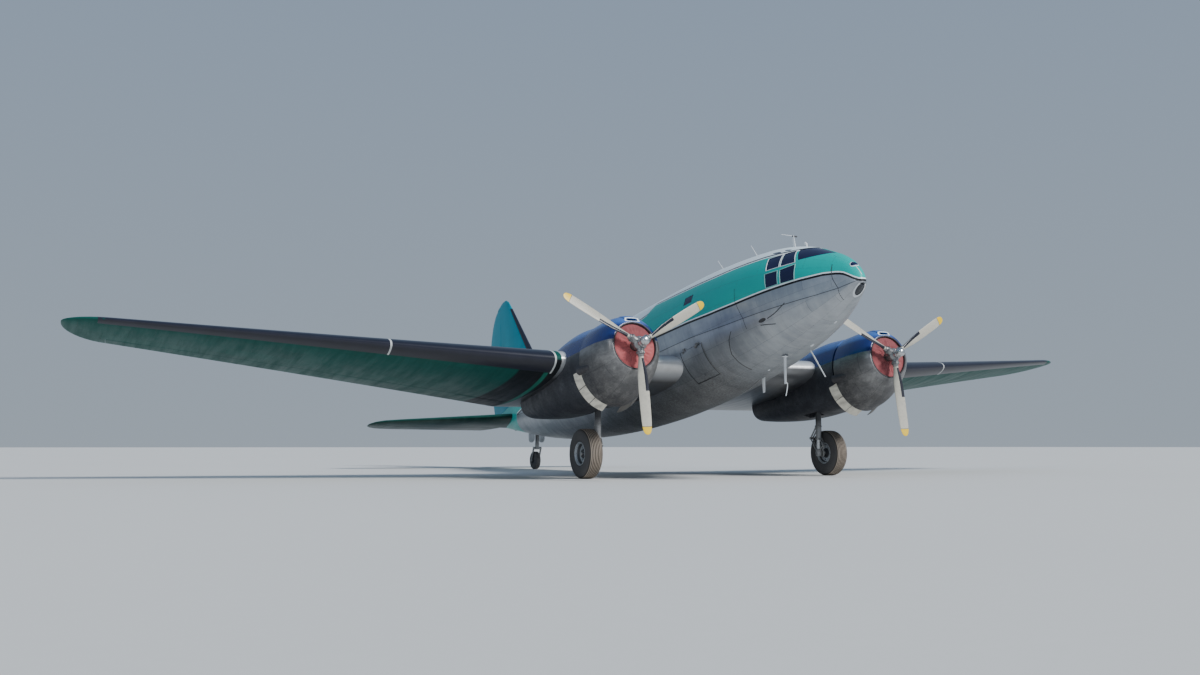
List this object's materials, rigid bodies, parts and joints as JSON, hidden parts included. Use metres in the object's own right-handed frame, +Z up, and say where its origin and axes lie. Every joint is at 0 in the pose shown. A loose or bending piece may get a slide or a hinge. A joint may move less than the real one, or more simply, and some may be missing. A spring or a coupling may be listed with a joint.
{
  "type": "military transport plane",
  "caption": "Military transport plane with a double-lobe fuselage, radial engines on a low wing and a tail wheel, parked with covered air intakes.",
  "frame": {"origin": "on the ground under the middle of the whole box", "axes": "+X to port along the span, +Y aft, +Z up; the nose points to -Y"},
  "size_m": [32.92, 23.4446, 6.6337],
  "materials": {
    "wing_centre_section": "bare sheet metal, worn",
    "tailplane_port": "dark green paint, satin",
    "tailplane_starboard": "dark green paint, satin",
    "elevator_port": "dark green paint, satin",
    "elevator_starboard": "dark green paint, satin",
    "fin": "teal-green paint, satin",
    "rudder": "teal-green paint, satin",
    "nose_shell": "teal-green band over bare metal",
    "nose_lamp": "clear glass lamp",
    "forward_shell": "teal-green band over bare metal",
    "rear_shell": "teal-green band over bare metal",
    "cargo_door_front": "teal-green paint, satin",
    "cargo_door_rear": "teal-green paint, satin",
    "hold_door": "bare sheet metal, worn",
    "cockpit_glazing": "tinted glazing",
    "cabin_floor": "matt sheet metal",
    "bulkhead": "matt sheet metal",
    "cockpit_fittings": "dark trim",
    "tail_cone": "teal-green paint over bare metal",
    "roof_mast": "cream paint",
    "tail_fork": "worn steel",
    "tail_leg": "worn steel",
    "tail_wheel": "grey cast wheel",
    "tail_tyre": "worn rubber",
    "wing_panel_port": "dark green paint, satin",
    "flap_port": "dark green paint, satin",
    "aileron_port": "doped fabric",
    "cowling_port": "bare sheet metal, worn",
    "engine_port": "grey casting",
    "cowl_flaps_port": "cream paint, stained",
    "intake_cover_port": "faded red canvas",
    "propeller_port": "pale grey paint, worn",
    "main_leg_port": "worn steel",
    "nacelle_port": "blue band over grimy metal",
    "main_wheel_port": "grey cast wheel",
    "main_tyre_port": "worn rubber",
    "wing_panel_starboard": "dark green paint, satin",
    "flap_starboard": "dark green paint, satin",
    "aileron_starboard": "doped fabric",
    "cowling_starboard": "bare sheet metal, worn",
    "engine_starboard": "grey casting",
    "cowl_flaps_starboard": "cream paint, stained",
    "intake_cover_starboard": "faded red canvas",
    "propeller_starboard": "pale grey paint, worn",
    "main_leg_starboard": "worn steel",
    "nacelle_starboard": "blue band over grimy metal",
    "main_wheel_starboard": "grey cast wheel",
    "main_tyre_starboard": "worn rubber"
  },
  "bodies": {
    "airframe": {"wing_centre_section": "wing_centre_section", "wing_panel_port": "wing_panel_port", "wing_panel_starboard": "wing_panel_starboard", "tailplane_port": "tailplane_port", "tailplane_starboard": "tailplane_starboard", "fin": "fin", "nose_shell": "nose_shell", "nose_lamp": "nose_lamp", "forward_shell": "forward_shell", "rear_shell": "rear_shell", "cockpit_glazing": "cockpit_glazing", "cabin_floor": "cabin_floor", "bulkhead": "bulkhead", "cockpit_fittings": "cockpit_fittings", "cowling_port": "cowling_port", "cowling_starboard": "cowling_starboard", "engine_port": "engine_port", "engine_starboard": "engine_starboard", "cowl_flaps_port": "cowl_flaps_port", "cowl_flaps_starboard": "cowl_flaps_starboard", "intake_cover_port": "intake_cover_port", "intake_cover_starboard": "intake_cover_starboard", "main_leg_port": "main_leg_port", "main_leg_starboard": "main_leg_starboard", "nacelle_port": "nacelle_port", "nacelle_starboard": "nacelle_starboard", "tail_leg": "tail_leg", "tail_cone": "tail_cone", "roof_mast": "roof_mast"},
    "elevators": {"elevator_port": "elevator_port", "elevator_starboard": "elevator_starboard"},
    "rudder": {"rudder": "rudder"},
    "cargo_door_front": {"cargo_door_front": "cargo_door_front"},
    "cargo_door_rear": {"cargo_door_rear": "cargo_door_rear"},
    "hold_door": {"hold_door": "hold_door"},
    "tail_fork": {"tail_fork": "tail_fork"},
    "tail_wheel": {"tail_wheel": "tail_wheel", "tail_tyre": "tail_tyre"},
    "flap_port": {"flap_port": "flap_port"},
    "aileron_port": {"aileron_port": "aileron_port"},
    "propeller_port": {"propeller_port": "propeller_port"},
    "main_wheel_port": {"main_wheel_port": "main_wheel_port", "main_tyre_port": "main_tyre_port"},
    "flap_starboard": {"flap_starboard": "flap_starboard"},
    "aileron_starboard": {"aileron_starboard": "aileron_starboard"},
    "propeller_starboard": {"propeller_starboard": "propeller_starboard"},
    "main_wheel_starboard": {"main_wheel_starboard": "main_wheel_starboard", "main_tyre_starboard": "main_tyre_starboard"}
  },
  "joints": [
    {"name": "propeller_spin_port", "type": "hinge", "parent": "airframe", "child": "propeller_port", "pos_m": [3.94, -8.1578, 3.3278], "axis": [0, 0.9848, -0.1736], "continuous": true},
    {"name": "wheel_spin_port", "type": "hinge", "parent": "airframe", "child": "main_wheel_port", "pos_m": [3.95, -5.2251, 0.6529], "axis": [1, 0, 0], "continuous": true},
    {"name": "flap_hinge_port", "type": "hinge", "parent": "airframe", "child": "flap_port", "pos_m": [7.33, -1.9056, 2.5799], "axis": [-0.99, -0.0742, -0.1204], "range_deg": [0, 35]},
    {"name": "aileron_hinge_port", "type": "hinge", "parent": "airframe", "child": "aileron_port", "pos_m": [12.57, -1.5129, 3.217], "axis": [-0.99, -0.0742, -0.1204], "range_deg": [-20, 20]},
    {"name": "propeller_spin_starboard", "type": "hinge", "parent": "airframe", "child": "propeller_starboard", "pos_m": [-3.94, -8.1578, 3.3278], "axis": [0, 0.9848, -0.1736], "continuous": true},
    {"name": "wheel_spin_starboard", "type": "hinge", "parent": "airframe", "child": "main_wheel_starboard", "pos_m": [-3.95, -5.2251, 0.6529], "axis": [1, 0, 0], "continuous": true},
    {"name": "flap_hinge_starboard", "type": "hinge", "parent": "airframe", "child": "flap_starboard", "pos_m": [-7.33, -1.9056, 2.5799], "axis": [-0.99, 0.0742, 0.1204], "range_deg": [0, 35]},
    {"name": "aileron_hinge_starboard", "type": "hinge", "parent": "airframe", "child": "aileron_starboard", "pos_m": [-12.57, -1.5129, 3.217], "axis": [-0.99, 0.0742, 0.1204], "range_deg": [-20, 20]},
    {"name": "elevator_hinge", "type": "hinge", "parent": "airframe", "child": "elevators", "pos_m": [0, 9.6772, 1.6808], "axis": [1, 0, 0], "range_deg": [-20, 28]},
    {"name": "rudder_hinge", "type": "hinge", "parent": "airframe", "child": "rudder", "pos_m": [0, 9.8955, 2.3429], "axis": [0, 0.1736, 0.9848], "range_deg": [-25, 25]},
    {"name": "cargo_door_front_hinge", "type": "hinge", "parent": "airframe", "child": "cargo_door_front", "pos_m": [1.425, 1.4332, 3.0532], "axis": [0.2249, -0.1692, -0.9596], "range_deg": [0, 110]},
    {"name": "cargo_door_rear_hinge", "type": "hinge", "parent": "airframe", "child": "cargo_door_rear", "pos_m": [1.217, 3.909, 2.6166], "axis": [-0.2249, 0.1692, 0.9596], "range_deg": [0, 110]},
    {"name": "hold_door_hinge", "type": "hinge", "parent": "airframe", "child": "hold_door", "pos_m": [-1.412, -6.2916, 3.4303], "axis": [0, 0.9848, -0.1736], "range_deg": [0, 100]},
    {"name": "tail_wheel_swivel", "type": "hinge", "parent": "airframe", "child": "tail_fork", "pos_m": [0, 6.9649, 0.85], "axis": [0, 0, 1], "continuous": true},
    {"name": "tail_wheel_spin", "type": "hinge", "parent": "tail_fork", "child": "tail_wheel", "pos_m": [0, 7.1349, 0.3272], "axis": [1, 0, 0], "continuous": true}
  ],
  "couplings": [
    {"joint": "flap_hinge_starboard", "follows": "flap_hinge_port", "ratio": 1},
    {"joint": "aileron_hinge_starboard", "follows": "aileron_hinge_port", "ratio": -1}
  ]
}
